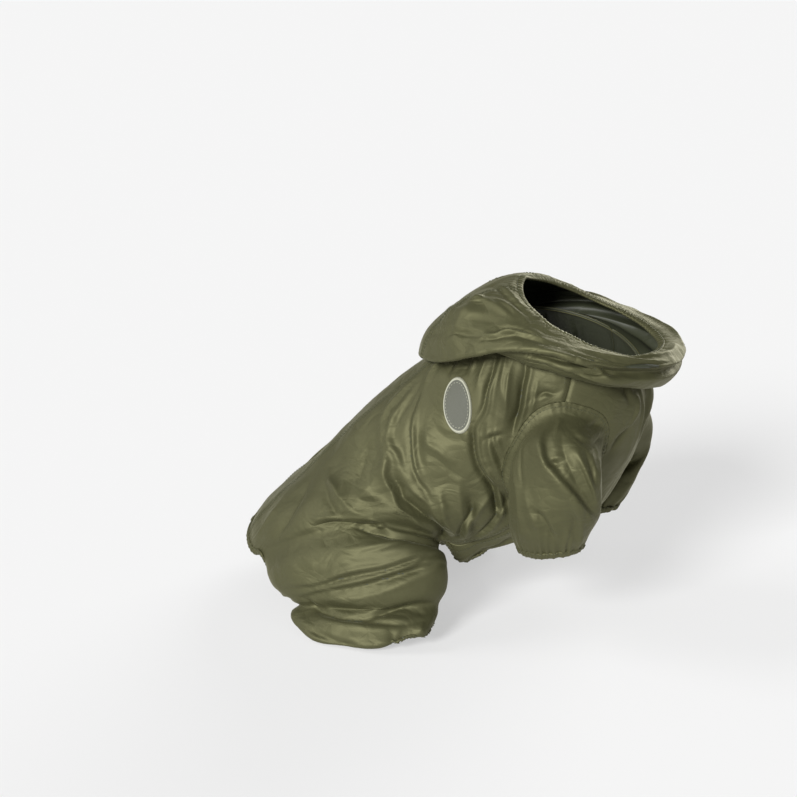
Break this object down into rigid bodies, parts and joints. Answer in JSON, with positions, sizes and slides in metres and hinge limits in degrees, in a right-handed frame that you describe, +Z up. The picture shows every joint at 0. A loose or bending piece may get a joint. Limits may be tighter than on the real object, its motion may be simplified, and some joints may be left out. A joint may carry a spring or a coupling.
{
  "type": "dog full-body raincoat",
  "caption": "Hooded full-body raincoat for a small dog, worn form kept hollow: short sleeves and gathered trouser legs, with a bare oval patch on its right side.",
  "frame": {"origin": "the withers: the centre back of the coat's neckline, where the wearer carries it, 205 mm above the floor the wearer sits on", "axes": "+X forward, towards the wearer's head; +Y to the wearer's left; +Z up"},
  "size_m": [0.3367, 0.2559, 0.252],
  "materials": {
    "cloth": "satin, fine plain weave",
    "patch_face": "satin"
  },
  "bodies": {
    "root": {"belly": "cloth", "side_right": "cloth", "side_left": "cloth", "sleeve_right": "cloth", "sleeve_left": "cloth", "leg_right": "cloth", "leg_left": "cloth", "hood_right": "cloth", "hood_centre": "cloth", "hood_left": "cloth", "patch": "patch_face"}
  },
  "joints": []
}
